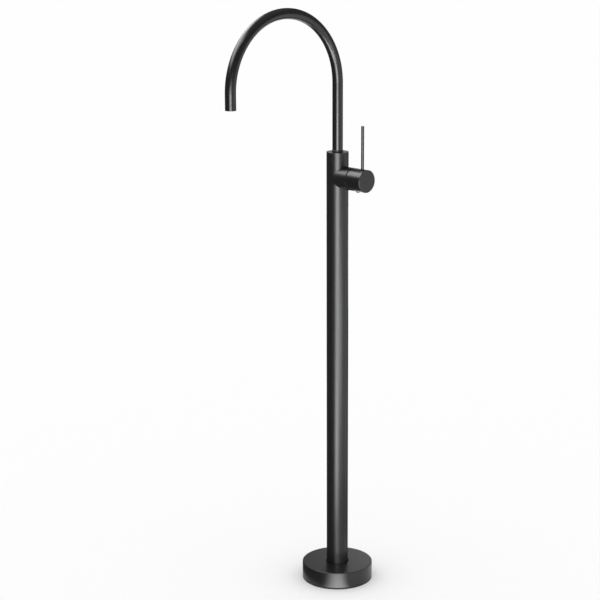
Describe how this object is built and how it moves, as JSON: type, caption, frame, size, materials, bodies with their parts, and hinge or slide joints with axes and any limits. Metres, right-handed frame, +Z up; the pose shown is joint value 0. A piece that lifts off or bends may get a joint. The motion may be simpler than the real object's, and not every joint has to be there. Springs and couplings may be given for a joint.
{
  "type": "floor standing bath filler",
  "caption": "Floor standing bath filler: round floor cover, straight column with a side knob and pin lever, and a slim swivelling gooseneck spout.",
  "frame": {"origin": "centre of the base underside, on the floor and on the column axis", "axes": "+Z up the column, +X along the handle away from the column, -Y the way the spout reaches"},
  "size_m": [0.1565, 0.3706, 1.2096],
  "materials": {
    "black_finish": "satin black coating",
    "steel": "plain stainless steel",
    "brass": "machined",
    "copper": "drawn copper tube",
    "rubber": "matte",
    "cartridge_plastic": "moulded",
    "black_plastic": "moulded, matte",
    "ceramic": "lapped ceramic"
  },
  "bodies": {
    "stand": {"floor_plate": "steel", "foot_block": "brass", "foot_screws": "steel", "column_grub_screws": "steel", "column_tube": "black_finish", "hot_supply_tube": "copper", "cold_supply_tube": "copper", "supply_tube_seals": "rubber", "valve_body": "brass", "socket_gasket": "rubber", "spout_socket": "brass", "spout_stop_screw": "steel", "top_cap": "black_finish", "housing_gasket": "rubber", "cartridge_housing": "brass", "housing_screws": "steel", "side_sleeve": "black_finish", "dome_ring": "black_finish", "cartridge_base": "cartridge_plastic", "port_seals": "rubber", "fixed_disc": "ceramic", "cartridge_shell": "cartridge_plastic", "cartridge_nut": "brass"},
    "cover": {"cover_flange": "black_finish", "cover_seal": "rubber"},
    "spout": {"spout_tube": "black_finish", "spout_spigot": "brass", "spigot_seals": "rubber", "swivel_ring": "black_plastic", "outlet_collar": "black_finish", "aerator_insert": "black_plastic", "aerator_washer": "rubber"},
    "rotor": {"cartridge_rotor": "cartridge_plastic", "lever_pivot_pin": "steel"},
    "handle": {"lever_stem": "brass", "knob": "black_finish", "pin_lever": "black_finish", "lever_grub_screw": "steel", "index_button": "black_finish"},
    "disc": {"moving_disc": "ceramic", "disc_carrier": "cartridge_plastic"}
  },
  "joints": [
    {"name": "cover_slide", "type": "slide", "parent": "stand", "child": "cover", "axis": [0, 0, 1], "range_m": [0, 0.785]},
    {"name": "spout_swivel", "type": "hinge", "parent": "stand", "child": "spout", "pos_m": [0, 0, 0.9177], "axis": [0, 0, 1], "range_deg": [-60, 60]},
    {"name": "temperature_turn", "type": "hinge", "parent": "stand", "child": "rotor", "pos_m": [0.03395, 0, 0.866], "axis": [1, 0, 0], "range_deg": [-45, 45]},
    {"name": "flow_tilt", "type": "hinge", "parent": "rotor", "child": "handle", "pos_m": [0.03395, 0, 0.866], "axis": [0, 1, 0], "range_deg": [0, 18]},
    {"name": "disc_slide", "type": "slide", "parent": "rotor", "child": "disc", "axis": [0, 0, 1], "range_m": [0, 0.00242]}
  ],
  "couplings": [
    {"joint": "disc_slide", "follows": "flow_tilt", "m_per_rad": 0.0077}
  ]
}
